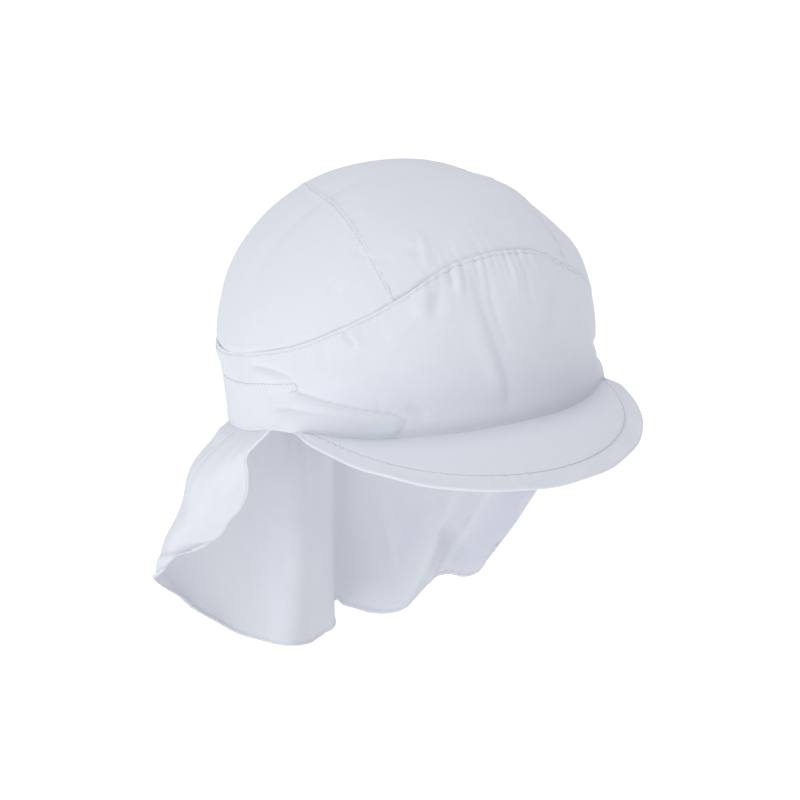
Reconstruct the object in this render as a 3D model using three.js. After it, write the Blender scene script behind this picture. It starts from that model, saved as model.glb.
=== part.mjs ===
// Legionnaire cap: a soft cloth cap with a low band that rises to an arch in front,
// a strip over the top between two side panels, a stiffened visor and a neck flap.
// Millimetres, +Z up. The origin is the middle of the head opening, the visor points
// to -Y, and the wearer's right is -X. A turn is an angle about +Z that starts at the
// front and grows toward the wearer's right.

import * as THREE from 'three';
import { mergeVertices } from 'three/addons/utils/BufferGeometryUtils.js';

// Crown. Fullness is the power of a superellipse, 2 for a plain ellipse.
const crownHalfWidth = 83.5;
const crownFrontLength = 90.5;
const crownBackLength = 98;
const crownTopHeight = 110.5;
const widestHeight = 27;
const planFullness = 2.06;
const sideFullness = 2;
const frontFullness = 3;
const crownWall = 1.5;
const panelPuff = 0.8;

// Head opening. The temples are where the visor's corners spread the rim.
const rimHalfWidth = 80.5;
const rimFrontLength = 89.5;
const rimBackLength = 86;
const rimFrontHeight = 21;
const rimBackHeight = -22;
const templeTurn = 61;
const templeSpread = 16;
const templeFlare = 5;
const templeLift = 4.5;

// Band
const bandWall = 2;
const archHeight = 91.5;
const bandBackTopHeight = 25;
const archSharpness = 3;

// Strip over the top. Swell and trim are shares of the chart's radius and of the panel's length.
const stripRightTurn = 28;
const stripLeftTurn = 34;
const stripBackHalfWidth = 22;
const stripSwell = 0.02;
const panelTipTrim = 0.015;

// Visor
const visorHalfWidth = 76.6;
const visorRootLength = 50.5;
const visorTipLength = 145.5;
const visorTipHeight = 17.7;
const visorCornerHeight = 18.8;
const visorEndTurn = 60;
const visorArch = 1.6;
const visorRise = 1.5;
const visorDrop = 0.5;
const visorWall = 3.2;
const flangeWall = 1.6;
const flangeWidth = 8;

// Neck flap
const flapEdgeTurn = 69;
const flapLength = 150;
const flapWall = 1.4;
const hemWall = 2.4;
const hemWidth = 8;

// Columns and rows of each piece's mesh
const stripMesh = [10, 22];
const sidePanelMesh = [24, 8];
const bandMesh = [80, 7];
const visorColumns = 40;
const flapColumns = 64;

// Clearance between sewn pieces
const seamGap = 0.4;

// Creases pressed into the band. Height is a share of the crown's top height, width a share of
// the widest height, and depth a share of the band's wall, outward where it is above zero.
const bandCreases = [
  { turn: 44, height: 0.21, slope: 0.12, run: 18, width: 0.16, depth: 0.9 },
  { turn: 46, height: 0.3, slope: 0.12, run: 16, width: 0.14, depth: -0.7 },
  { turn: 70, height: 0.12, slope: 0, run: 9, width: 0.3, depth: 0.5 },
  { turn: 4, height: 0.45, slope: 0, run: 4, width: 1.1, depth: -0.5 },
  { turn: -16, height: 0.4, slope: 0, run: 5, width: 1, depth: 0.5 },
  { turn: -42, height: 0.22, slope: -0.1, run: 16, width: 0.18, depth: 0.7 },
];

// Ribs of the neck flap from its right front edge round the back to its left one. Seam is a
// share of the way along the band, turn is where the rib meets the hem, reach is a share of
// the crown's back length, drop a share of the flap's length, and bow, outward, of the reach.
const flapRibs = [
  { seam: 0, turn: 121, reach: 1.24, drop: 0.5, bow: -0.2 },
  { seam: 0.06, turn: 129, reach: 1.26, drop: 0.59, bow: 0 },
  { seam: 0.13, turn: 137, reach: 1.24, drop: 0.69, bow: 0.09 },
  { seam: 0.2, turn: 142.5, reach: 1.23, drop: 0.77, bow: 0.11 },
  { seam: 0.27, turn: 149, reach: 1.2, drop: 0.85, bow: 0.09 },
  { seam: 0.33, turn: 156, reach: 1.17, drop: 0.93, bow: 0.05 },
  { seam: 0.38, turn: 163, reach: 1.13, drop: 0.98, bow: 0.02 },
  { seam: 0.42, turn: 168, reach: 1.08, drop: 0.995, bow: -0.03 },
  { seam: 0.455, turn: 172.5, reach: 1.05, drop: 1, bow: -0.04 },
  { seam: 0.48, turn: 176, reach: 0.98, drop: 0.97, bow: -0.02 },
  { seam: 0.5, turn: 179.3, reach: 0.92, drop: 0.92, bow: 0 },
  { seam: 0.525, turn: 182.5, reach: 0.99, drop: 0.91, bow: 0.02 },
  { seam: 0.56, turn: 186, reach: 1.16, drop: 0.93, bow: 0.04 },
  { seam: 0.6, turn: 189, reach: 1.26, drop: 0.965, bow: 0.03 },
  { seam: 0.64, turn: 192.5, reach: 1.25, drop: 0.985, bow: 0.02 },
  { seam: 0.68, turn: 196, reach: 1.2, drop: 0.99, bow: 0 },
  { seam: 0.72, turn: 200, reach: 1.12, drop: 0.97, bow: -0.03 },
  { seam: 0.76, turn: 204.5, reach: 1.05, drop: 0.93, bow: -0.03 },
  { seam: 0.8, turn: 209, reach: 1.05, drop: 0.865, bow: 0.01 },
  { seam: 0.84, turn: 213.5, reach: 1.07, drop: 0.81, bow: 0.03 },
  { seam: 0.88, turn: 218, reach: 1.04, drop: 0.78, bow: 0.02 },
  { seam: 0.92, turn: 223, reach: 1, drop: 0.77, bow: -0.01 },
  { seam: 0.96, turn: 227.5, reach: 0.97, drop: 0.74, bow: -0.04 },
  { seam: 1, turn: 231, reach: 0.95, drop: 0.68, bow: -0.05 },
];

const rad = THREE.MathUtils.degToRad;
const lerp = THREE.MathUtils.lerp;

// Shares 0 to 1 in even steps
function steps(count) {
  return Array.from({ length: count + 1 }, (_, i) => i / count);
}

// Signed angle from the front, -180 to 180 degrees
function wrapped(turn) {
  return THREE.MathUtils.euclideanModulo(turn + 180, 360) - 180;
}

// Plan radius of a superellipse with its own front and back lengths
function planRadius(turn, halfWidth, frontLength, backLength) {
  const side = Math.abs(Math.sin(rad(turn))) / halfWidth;
  const ahead = Math.cos(rad(turn));
  const along = Math.abs(ahead) / (ahead > 0 ? frontLength : backLength);
  return (side ** planFullness + along ** planFullness) ** (-1 / planFullness);
}

// Bell curve that is 1 at both temples
function atTemples(turn) {
  return Math.exp(-(((Math.abs(wrapped(turn)) - templeTurn) / templeSpread) ** 2));
}

function rimRadius(turn) {
  const plan = planRadius(turn, rimHalfWidth, rimFrontLength, rimBackLength);
  return plan + templeFlare * atTemples(turn);
}

// The rim lies in a tilted plane that lifts a little at the temples
function rimHeight(turn) {
  const front = (1 + Math.cos(rad(turn))) / 2;
  return lerp(rimBackHeight, rimFrontHeight, front) + templeLift * atTemples(turn);
}

// Seam between the band and the crown's panels
function archSeamHeight(turn) {
  const front = (1 + Math.cos(rad(turn))) / 2;
  return lerp(bandBackTopHeight, archHeight, front ** archSharpness);
}

function crownRadius(turn) {
  return planRadius(turn, crownHalfWidth, crownFrontLength, crownBackLength);
}

// The dome's section is rounder at the sides and squarer in front
function fullness(turn) {
  return lerp(sideFullness, frontFullness, Math.max(0, Math.cos(rad(turn))));
}

function creaseDepth(turn, height) {
  return bandCreases.reduce((sum, crease) => {
    const along = wrapped(turn - crease.turn) / crease.run;
    const middle = crease.height * crownTopHeight + crease.slope * along * widestHeight;
    const across = (height - middle) / (crease.width * widestHeight);
    return sum + crease.depth * bandWall * Math.exp(-along * along - across * across);
  }, 0);
}

// Point of the crown's outer face at a turn and a height
function wallPoint(turn, height) {
  const widest = crownRadius(turn);
  let radius = widest;
  if (height >= widestHeight) {
    const power = fullness(turn);
    const rise = Math.min(1, (height - widestHeight) / (crownTopHeight - widestHeight));
    radius = widest * (1 - rise ** power) ** (1 / power);
  } else {
    const fall = (widestHeight - height) / (widestHeight - rimHeight(turn));
    radius = lerp(widest, rimRadius(turn), fall * (2 - fall));
  }
  radius += creaseDepth(turn, height);
  return new THREE.Vector3(-radius * Math.sin(rad(turn)), -radius * Math.cos(rad(turn)), height);
}

// Distance from the crown's apex on its flat chart: 1 at the widest level
function chartDistance(turn, height) {
  const dome = crownTopHeight - widestHeight;
  const rise = (height - widestHeight) / dome;
  if (rise <= 0) return 1 - rise / (Math.PI / 2);
  const power = fullness(turn);
  return Math.atan2((1 - rise ** power) ** (1 / power), rise) / (Math.PI / 2);
}

// Point of the chart at a turn and a height
function chartPoint(turn, height) {
  const distance = chartDistance(turn, height);
  return new THREE.Vector2(-distance * Math.sin(rad(turn)), -distance * Math.cos(rad(turn)));
}

// Point of the crown over a point of the chart
function crownPoint(chart) {
  const distance = chart.length();
  const turn = THREE.MathUtils.radToDeg(Math.atan2(-chart.x, -chart.y));
  const dome = crownTopHeight - widestHeight;
  if (distance >= 1) return wallPoint(turn, widestHeight - (distance - 1) * (Math.PI / 2) * dome);
  const tilt = distance * (Math.PI / 2);
  const power = fullness(turn);
  const scale = (Math.sin(tilt) ** power + Math.cos(tilt) ** power) ** (-1 / power);
  const height = widestHeight + dome * Math.cos(tilt) * scale;
  const radius = crownRadius(turn) * Math.sin(tilt) * scale + creaseDepth(turn, height);
  return new THREE.Vector3(-radius * Math.sin(rad(turn)), -radius * Math.cos(rad(turn)), height);
}

// Half a seam gap, as a distance on the chart
const chartGap = seamGap / 2 / (crownHalfWidth * Math.PI / 2);

// Half the angle that the strip takes at the back of the band
function stripBackTurn() {
  return THREE.MathUtils.radToDeg(Math.asin(stripBackHalfWidth / crownBackLength));
}

// Chart point of the strip over the top: across from its right edge to its left one, 0 to 1, and
// along from the arch to the back of the band. Past the edge it is outside the strip.
function stripPoint(across, along, past) {
  const frontTurn = lerp(stripRightTurn, -stripLeftTurn, across);
  const rearTurn = 180 + lerp(-stripBackTurn(), stripBackTurn(), across);
  const front = chartPoint(frontTurn, archSeamHeight(frontTurn) + seamGap / 2);
  const back = chartPoint(rearTurn, archSeamHeight(rearTurn) + seamGap / 2);
  const point = front.lerp(back, along);
  point.x += (2 * across - 1) * (stripSwell * Math.sin(Math.PI * along) + past);
  return point;
}

// Closed shell: the outer face is surface(u, v), the inner one lies wall(u, v) behind it. Going
// along u and then along v turns anticlockwise as seen from outside.
function shell(us, vs, surface, wall, ring = false) {
  const step = 1e-4;
  const inner = (u, v) => {
    const alongU = surface(u + step, v).sub(surface(u - step, v));
    const alongV = surface(u, v + step).sub(surface(u, v - step));
    const inward = alongV.cross(alongU).normalize();
    return surface(u, v).addScaledVector(inward, wall(u, v));
  };
  const columns = ring ? us.slice(0, -1) : us;
  const rows = vs.length;
  const outside = columns.flatMap((u) => vs.map((v) => surface(u, v)));
  const inside = columns.flatMap((u) => vs.map((v) => inner(u, v)));
  const points = [...outside, ...inside];
  const index = (column, row, face) => (face * columns.length + (column % columns.length)) * rows + row;
  const faces = [];
  const quad = (a, b, c, d) => faces.push(a, b, c, a, c, d);
  const spans = ring ? columns.length : columns.length - 1;
  for (let i = 0; i < spans; i += 1) {
    for (let j = 0; j < rows - 1; j += 1) {
      quad(index(i, j, 0), index(i + 1, j, 0), index(i + 1, j + 1, 0), index(i, j + 1, 0));
      quad(index(i, j, 1), index(i, j + 1, 1), index(i + 1, j + 1, 1), index(i + 1, j, 1));
    }
    quad(index(i, 0, 0), index(i, 0, 1), index(i + 1, 0, 1), index(i + 1, 0, 0));
    quad(index(i, rows - 1, 0), index(i + 1, rows - 1, 0), index(i + 1, rows - 1, 1), index(i, rows - 1, 1));
  }
  if (!ring) {
    const last = columns.length - 1;
    for (let j = 0; j < rows - 1; j += 1) {
      quad(index(0, j, 0), index(0, j + 1, 0), index(0, j + 1, 1), index(0, j, 1));
      quad(index(last, j, 0), index(last, j, 1), index(last, j + 1, 1), index(last, j + 1, 0));
    }
  }
  const geometry = new THREE.BufferGeometry().setFromPoints(points);
  geometry.setIndex(faces);
  return mergeVertices(geometry);
}

// Smooth value of a table's column at a share of the seam
function between(rows, column, share) {
  const last = rows.length - 1;
  const i = Math.min(last - 1, Math.max(0, rows.findLastIndex((row) => row.seam <= share)));
  const slope = (k) => {
    const before = rows[Math.max(0, k - 1)];
    const after = rows[Math.min(last, k + 1)];
    return (after[column] - before[column]) / (after.seam - before.seam);
  };
  const [a, b] = [rows[i], rows[i + 1]];
  const span = b.seam - a.seam;
  const t = (share - a.seam) / span;
  const start = (1 + 2 * t) * (1 - t) ** 2 * a[column] + t * (1 - t) ** 2 * span * slope(i);
  return start + t * t * (3 - 2 * t) * b[column] - t * t * (1 - t) * span * slope(i + 1);
}

function crownTopPanel() {
  const surface = (across, along) => crownPoint(stripPoint(across, along, -chartGap));
  return shell(steps(stripMesh[0]), steps(stripMesh[1]), surface, () => crownWall);
}

// Side is -1 for the wearer's right and 1 for the left
function crownSidePanel(side) {
  const frontTurn = side < 0 ? stripRightTurn : stripLeftTurn;
  const surface = (along, up) => {
    const turn = -side * lerp(frontTurn, 180 - stripBackTurn(), along);
    const lower = chartPoint(turn, archSeamHeight(turn) + seamGap / 2);
    const upper = stripPoint((1 + side) / 2, along, chartGap);
    const point = crownPoint(lower.lerp(upper, up));
    const middle = Math.sin(Math.PI * up) * Math.sin(Math.PI * along);
    return point.addScaledVector(point.clone().normalize(), panelPuff * middle);
  };
  const ends = steps(sidePanelMesh[0]).map((share) => lerp(panelTipTrim, 1 - panelTipTrim, share));
  const order = side < 0 ? (u, v) => surface(1 - u, v) : surface;
  return shell(ends, steps(sidePanelMesh[1]), order, () => crownWall);
}

function band() {
  const surface = (around, up) => {
    const turn = -360 * around;
    const height = lerp(rimHeight(turn), archSeamHeight(turn) - seamGap / 2, up);
    return wallPoint(turn, height);
  };
  return shell(steps(bandMesh[0]), steps(bandMesh[1]), surface, () => bandWall, true);
}

// Point of the visor's upper face on a rib that runs from the rim out to the edge. Side goes
// from 1 at the wearer's right corner to -1 at the left one.
function visorRib(side) {
  const turn = side * visorEndTurn;
  const radius = rimRadius(turn) - bandWall / 2;
  const sweep = rad(90 * side);
  const reach = visorTipLength - visorRootLength;
  const rise = lerp(visorTipHeight, visorCornerHeight, Math.sin(sweep) ** 2);
  const root = new THREE.Vector3(-radius * Math.sin(rad(turn)), -radius * Math.cos(rad(turn)), 0);
  root.z = rimHeight(turn) - visorDrop;
  const edge = new THREE.Vector3(-visorHalfWidth * Math.sin(sweep), 0, rise);
  edge.y = -visorRootLength - reach * Math.cos(sweep);
  return { root, edge, stitch: Math.max(0.1, 1 - flangeWidth / root.distanceTo(edge)) };
}

// Out goes from 0 at the rim to 1 at the stitch line and 2 at the edge
function visor() {
  const step = (visorWall - flangeWall) / 2;
  const surface = (across, out) => {
    const { root, edge, stitch } = visorRib(2 * across - 1);
    const share = out <= 1 ? out * stitch : lerp(stitch, 1, out - 1);
    const point = root.clone().lerp(edge, share);
    point.z = lerp(root.z, edge.z, Math.max(0, share) ** visorRise);
    point.z += visorArch * Math.sin(Math.PI * share) ** 2;
    point.z -= step * THREE.MathUtils.smoothstep(out, 1, 1.12);
    return point;
  };
  const wall = (across, out) => (out > 1.06 ? flangeWall : visorWall);
  return shell(steps(visorColumns), [0, 0.25, 0.5, 0.75, 1, 1.12, 1.6, 2], surface, wall);
}

// Curve from 0 at both ends that peaks at 1 two thirds of the way down
function lowBulge(down) {
  return (27 / 4) * down * down * (1 - down);
}

// Point of the neck flap's outer face: along the seam, then down to the hem
function flapPoint(seam, down) {
  const top = lerp(flapEdgeTurn, 360 - flapEdgeTurn, seam);
  const turn = lerp(top, between(flapRibs, 'turn', seam), down);
  const reach = between(flapRibs, 'reach', seam) * crownBackLength;
  const bow = between(flapRibs, 'bow', seam) * reach * lowBulge(down);
  const radius = lerp(rimRadius(top) - seamGap, reach, down) + bow;
  const hem = rimBackHeight - between(flapRibs, 'drop', seam) * flapLength;
  const height = lerp(rimHeight(top) - seamGap, hem, down);
  return new THREE.Vector3(-radius * Math.sin(rad(turn)), -radius * Math.cos(rad(turn)), height);
}

function neckFlap() {
  const hem = hemWidth / flapLength;
  const downs = [0, 0.08, 0.18, 0.3, 0.42, 0.54, 0.66, 0.77, 0.87, 1 - hem, 1 - 0.7 * hem, 1];
  const surface = (around, up) => flapPoint(1 - around, 1 - up);
  const wall = (around, up) => (up < hem ? hemWall : flapWall);
  return shell(steps(flapColumns), downs.map((down) => 1 - down).reverse(), surface, wall);
}

const cloth = { roughness: 0.9, metalness: 0 };

function piece(name, geometry, color) {
  geometry.computeVertexNormals();
  const mesh = new THREE.Mesh(geometry, new THREE.MeshStandardMaterial({ color, ...cloth }));
  mesh.name = name;
  return mesh;
}

const cap = new THREE.Group();
cap.add(
  piece('crown_top_panel', crownTopPanel(), '#d9dde6'),
  piece('crown_side_panel_right', crownSidePanel(-1), '#dfe3ec'),
  piece('crown_side_panel_left', crownSidePanel(1), '#dfe3ec'),
  piece('band', band(), '#dde1ea'),
  piece('visor', visor(), '#d8dce5'),
  piece('neck_flap', neckFlap(), '#dee2eb'),
);

export default cap;
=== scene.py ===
"""Legionnaire cap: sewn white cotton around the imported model.

Metres, +Z up. The origin is the middle of the head opening, the visor points to -Y and the
wearer's right is -X. A turn is an angle about +Z in degrees, 0 at the front and growing toward
the wearer's right. Each cloth piece is a grid of points: a smooth form, a relief of folds, seams
and stitches along its normals, and two faces set half a thickness to either side.
"""

from collections import namedtuple

import bpy
import numpy as np
from bpy.props import FloatProperty, FloatVectorProperty, PointerProperty
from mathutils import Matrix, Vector


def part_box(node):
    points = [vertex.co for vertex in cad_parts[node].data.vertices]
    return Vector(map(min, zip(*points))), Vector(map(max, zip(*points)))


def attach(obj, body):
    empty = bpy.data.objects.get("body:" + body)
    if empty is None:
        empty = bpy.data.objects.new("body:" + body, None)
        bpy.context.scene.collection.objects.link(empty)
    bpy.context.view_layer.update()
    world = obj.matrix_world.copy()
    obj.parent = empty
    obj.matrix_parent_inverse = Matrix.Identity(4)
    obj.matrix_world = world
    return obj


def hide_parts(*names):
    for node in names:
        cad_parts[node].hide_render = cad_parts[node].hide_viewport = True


bl_info = {
    "name": "Legionnaire Cap",
    "version": (1, 0, 0),
    "blender": (4, 5, 0),
    "location": "3D View > Sidebar > Cap",
    "description": "Makes a sewn cotton cap with a visor and a neck flap, and a plain stage",
    "category": "Add Mesh",
}

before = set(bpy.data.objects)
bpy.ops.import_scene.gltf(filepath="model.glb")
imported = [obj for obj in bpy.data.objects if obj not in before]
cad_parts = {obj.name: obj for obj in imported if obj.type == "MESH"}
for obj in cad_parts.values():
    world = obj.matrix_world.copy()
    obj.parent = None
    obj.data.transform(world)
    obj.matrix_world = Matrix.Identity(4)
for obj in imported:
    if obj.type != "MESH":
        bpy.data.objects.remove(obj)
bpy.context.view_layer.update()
MM = 0.001

# Crown. Fullness is the power of a superellipse, 2 for a plain ellipse.
CROWN_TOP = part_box("crown_top_panel")[1].z
CROWN_HALF_WIDTH = 83.5 * MM
CROWN_FRONT = 90.5 * MM
CROWN_BACK = 98 * MM
WIDEST = 27 * MM
DOME = CROWN_TOP - WIDEST
PLAN_FULLNESS = 2.06
SIDE_FULLNESS = 2
FRONT_FULLNESS = 3

# Head opening, and the temples that the visor's corners spread
RIM_HALF_WIDTH = 80.5 * MM
RIM_FRONT = 89.5 * MM
RIM_BACK = 86 * MM
RIM_FRONT_HEIGHT = 21 * MM
RIM_BACK_HEIGHT = -22 * MM
TEMPLE_TURN = 61
TEMPLE_SPREAD = 16
TEMPLE_FLARE = 5 * MM
TEMPLE_LIFT = 4.5 * MM

# Band, and the casing for the elastic at its back
ARCH_HEIGHT = 92.5 * MM
ARCH_TWIST = 4
BAND_BACK_TOP = 25 * MM
CASING_HEIGHT = 23.2 * MM
CASING_DIP = 0.55
RIM_FLARE = 2.4 * MM
CASING_END_TURN = 59
TACK_STITCH = 1.9 * MM

# Strip over the top
STRIP_RIGHT_TURN = 28.5
STRIP_LEFT_TURN = 34
STRIP_BACK_HALF_WIDTH = 18 * MM
PANEL_PUFF = 0.6 * MM

# Visor
VISOR_TIP = -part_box("visor")[0].y
VISOR_HALF_WIDTH = 76.6 * MM
VISOR_ROOT = 50.5 * MM
VISOR_TIP_HEIGHT = 17.7 * MM
VISOR_CORNER_HEIGHT = 18.8 * MM
VISOR_END_TURN = 60
VISOR_ARCH = 1.6 * MM
VISOR_RISE = 1.5
VISOR_LIFT = 0.7 * MM
VISOR_TUCK = 0.9
VISOR_HALF = 1.5 * MM
FLANGE_HALF = 0.75 * MM
FLANGE_WIDTH = 10.5 * MM
FLANGE_FLARE = 0.25

# Neck flap
FLAP_EDGE_TURN = 69
FLAP_LENGTH = 150 * MM
FLAP_TUCK = 3 * MM

# Seams of the crown and the band. The seam line is how far the stitches run from a folded edge. A
# panel steps down to run under the band between the two heights over the arch's line, dips on by
# the slope below it, and has its full creases from the clear height up.
SEAM_LINE = 1.9 * MM
STEP_LOW = -0.3 * MM
STEP_HIGH = 1.8 * MM
UNDER_SLOPE = 0.3
ARCH_CLEAR = 4 * MM

# Weave of the cotton, and how dark the painted shade at the needle holes of each row is
WEAVE = 0.52 * MM
VISOR_WEAVE = 0.55 * MM
STRONG_HOLE_SHADE = 1
CASING_HOLE_SHADE = 0.75
ARCH_HOLE_SHADE = 0.55
SIDE_HOLE_SHADE = 0.5
HEM_HOLE_SHADE = 0.35

# Stage
KEY_PLACE = (-1.1, -0.55, 0.25)
TOP_PLACE = (0, 0, 1.35)
LIGHT_SIZE = 1.1
SKY_COLOUR = (0.97, 0.98, 1.0, 1.0)
FLOOR_REACH = 8
FLOOR_LINES = 9

# Distances from a free edge where each grid has extra rows
EDGE_STEPS = np.array([0, 0.12, 0.3, 0.55, 0.9, 1.3, 1.8, 2.4, 3.1, 4, 5]) * MM

# The arch's line. Away is the angle from the arch's middle, which is twisted a little toward the
# wearer's left, and rise is the share of the way from the band's height at the back to the arch's.
ArchRow = namedtuple("ArchRow", "away rise")
ARCH_LINE = [
    ArchRow(0, 1),
    ArchRow(9, 0.985),
    ArchRow(16, 0.955),
    ArchRow(22, 0.9),
    ArchRow(28, 0.825),
    ArchRow(32.5, 0.772),
    ArchRow(39, 0.69),
    ArchRow(48, 0.584),
    ArchRow(56, 0.487),
    ArchRow(65.5, 0.39),
    ArchRow(78, 0.29),
    ArchRow(96, 0.166),
    ArchRow(110, 0.095),
    ArchRow(135, 0.03),
    ArchRow(180, 0),
]

# The strip's two edges, along it from the arch to the back of the band. Right and left are shares
# of the way from each edge's place across at the arch to its place at the back.
StripRow = namedtuple("StripRow", "along right left")
STRIP_EDGES = [
    StripRow(0, 0, 0),
    StripRow(0.1, 0, 0.33),
    StripRow(0.2, 0, 0.5),
    StripRow(0.36, 0.02, 0.52),
    StripRow(0.46, 0.25, 0.58),
    StripRow(0.57, 0.82, 0.85),
    StripRow(0.7, 1, 1),
    StripRow(1, 1, 1),
]

# Ribs of the neck flap from its right front edge round the back to its left one. Seam is a share
# of the way along the band, turn is where the rib meets the hem, reach is a share of the crown's
# back length, drop a share of the flap's length, and bow, outward, a share of the reach.
Rib = namedtuple("Rib", "seam turn reach drop bow")
FLAP_RIBS = [
    Rib(0, 121, 1.24, 0.5, -0.2),
    Rib(0.06, 129, 1.26, 0.59, 0),
    Rib(0.13, 137, 1.24, 0.69, 0.09),
    Rib(0.2, 142.5, 1.23, 0.77, 0.11),
    Rib(0.27, 149, 1.2, 0.85, 0.09),
    Rib(0.33, 156, 1.17, 0.93, 0.05),
    Rib(0.38, 163, 1.09, 0.972, 0.02),
    Rib(0.42, 167, 1.01, 0.976, -0.02),
    Rib(0.455, 174, 1.025, 0.997, -0.03),
    Rib(0.48, 180, 1.045, 0.981, -0.02),
    Rib(0.495, 183, 1.06, 0.972, 0),
    Rib(0.51, 184, 1.12, 0.94, 0.01),
    Rib(0.53, 185.5, 1.18, 0.925, 0.03),
    Rib(0.56, 187, 1.21, 0.927, 0.04),
    Rib(0.6, 189, 1.26, 0.965, 0.03),
    Rib(0.64, 192.5, 1.25, 0.985, 0.02),
    Rib(0.68, 196, 1.2, 0.99, 0),
    Rib(0.72, 200, 1.12, 0.97, -0.03),
    Rib(0.76, 204.5, 1.05, 0.93, -0.03),
    Rib(0.8, 209, 1.05, 0.865, 0.01),
    Rib(0.84, 213.5, 1.07, 0.81, 0.03),
    Rib(0.88, 218, 1.04, 0.78, 0.02),
    Rib(0.92, 223, 1, 0.77, -0.01),
    Rib(0.96, 227.5, 0.97, 0.74, -0.04),
    Rib(1, 231, 0.95, 0.68, -0.05),
]

# How far the flap's right front edge swings out, in millimetres, at shares of the way down
EdgeWave = namedtuple("EdgeWave", "down out")
EDGE_WAVE = [
    EdgeWave(0, 0),
    EdgeWave(0.05, 2.2),
    EdgeWave(0.1, 2.8),
    EdgeWave(0.16, 0.8),
    EdgeWave(0.22, -2.4),
    EdgeWave(0.31, -4.8),
    EdgeWave(0.4, -5.2),
    EdgeWave(0.49, -2.6),
    EdgeWave(0.56, 1.2),
    EdgeWave(0.65, 2.6),
    EdgeWave(0.7, 5),
    EdgeWave(0.77, 13.5),
    EdgeWave(0.84, 13),
    EdgeWave(0.93, 7.4),
    EdgeWave(1, 1.5),
]

# The flap's flare on the wearer's right and its deep fold behind the neck. Seam and down are
# shares, and each spread is the width of a bell: the flare's two, and the edge wave's one.
FLARE_OUT = 8 * MM
FLARE_SEAM = 0.18
FLARE_SEAM_SPREAD = 0.09
FLARE_DOWN = 0.2
FLARE_DOWN_SPREAD = 0.16
EDGE_WAVE_SPREAD = 0.055
FOLD_DEPTH = 4.5 * MM
FOLD_START = 0.496
FOLD_END = 0.505

# A crease runs along its path, whose points are a turn and a height in millimetres on the crown,
# and a seam and a down share on the flap. Width and depth are millimetres, outward above zero.
# Lean widens the side that is to the left of the path as seen from outside, sharp goes from 0, a
# round bell, to 1, a pressed fold, and fade is the share of the path over which each end dies out.
Crease = namedtuple("Crease", "path width depth lean sharp fade")
BAND_CREASES = [
    Crease(
        [(60, 32.6), (54, 32.2), (48, 31.6), (38, 30), (29, 29.3), (26, 27.5), (24.4, 24.5)],
        1.1, -1.2, 0.3, 0.6, 0.08,
    ),
    Crease(
        [(61, 28), (55, 28.5), (48, 28.4), (38, 28), (32.7, 27.4), (29, 25.5), (26.6, 22)],
        2.7, 1.7, -0.25, 0.3, 0.1,
    ),
    Crease([(68, 21.5), (62, 24), (55, 25.3), (49, 25.9), (42, 26.5)], 1.6, -0.9, 0, 0.3, 0.25),
    Crease([(32.3, 35.7), (32.8, 33), (31, 31)], 1.1, -0.6, 0, 0.3, 0.25),
    Crease([(25.4, 35), (22.5, 31.8), (18.8, 27.2)], 2.2, -1, 0, 0.2, 0.3),
    Crease([(82, 35), (72.6, 37.7), (66.4, 38.7), (61, 38.4), (58, 37.5)], 1.1, -0.7, 0.3, 0.5, 0.2),
    Crease([(80, 33), (71, 35.2), (65, 35.8), (60.5, 35.2)], 2.4, 1, -0.35, 0.3, 0.25),
    Crease([(4, 88), (3.7, 75.4), (1.8, 64), (-0.4, 53), (-2.7, 41), (-3.7, 26)], 2.8, -0.75, 0.35, 0.3, 0.1),
    Crease([(7.3, 77), (5.3, 64.6), (2.8, 53.6), (0, 41), (-1.3, 29)], 4, 0.9, 0, 0.1, 0.3),
    Crease([(-0.9, 89.3), (0.1, 75.5), (-1.8, 63), (-4.4, 53)], 2, -0.6, 0, 0.3, 0.2),
    Crease([(-15.4, 88.2), (-13.6, 80), (-12.3, 71.7)], 1.7, -0.6, 0, 0.3, 0.25),
    Crease([(-11.3, 90), (-9.4, 83), (-8.2, 74)], 2.4, 0.6, 0, 0.2, 0.3),
    Crease([(-27.5, 73.4), (-21.5, 63), (-18.5, 49)], 6, -1.3, 0, 0, 0.35),
    Crease([(-33, 62), (-30, 48), (-29, 34)], 5, 0.8, 0, 0, 0.35),
    Crease([(18.8, 85.5), (20.6, 77.6), (22.1, 70)], 3.8, 1.5, 0.1, 0.1, 0.35),
    Crease([(16.3, 83), (16.6, 75.6), (18, 68)], 3, -1, 0, 0.1, 0.35),
    Crease([(31, 61.5), (28, 63.8), (24.6, 65.9), (22.2, 69)], 2, 0.8, 0.3, 0.3, 0.3),
    Crease([(12.6, 88.6), (11.8, 85.9), (10.6, 82)], 1.3, -1, 0, 0.5, 0.2),
    Crease([(9.9, 89.5), (9.4, 85), (9.6, 78)], 2.2, 0.9, 0.2, 0.3, 0.3),
    Crease([(43.6, 63.8), (41.6, 60.8), (39, 57.5)], 1.4, -1.2, 0, 0.4, 0.2),
    Crease([(41.4, 64.6), (39.4, 61.2), (37, 57.5)], 2.2, 0.9, 0, 0.2, 0.3),
    Crease([(48.2, 54.7), (49.3, 49.7), (49.8, 44.4)], 2, -0.5, 0, 0.2, 0.3),
    Crease([(52, 50), (40, 51), (29, 55)], 4.5, -0.7, 0, 0, 0.35),
    Crease([(58, 44), (42, 45), (28, 47)], 6, 0.6, 0, 0, 0.35),
    Crease([(-44, 40), (-56, 33), (-66, 25)], 2.6, -0.9, 0.2, 0.4, 0.3),
    Crease([(-42, 34), (-54, 28), (-64, 21)], 3.6, 1.1, 0, 0.2, 0.3),
    Crease([(-70, 38), (-84, 33), (-96, 27)], 3, 0.6, 0, 0.3, 0.3),
    Crease([(100, 30), (110, 26), (122, 21)], 3.5, 0.6, 0, 0.2, 0.3),
]
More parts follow.
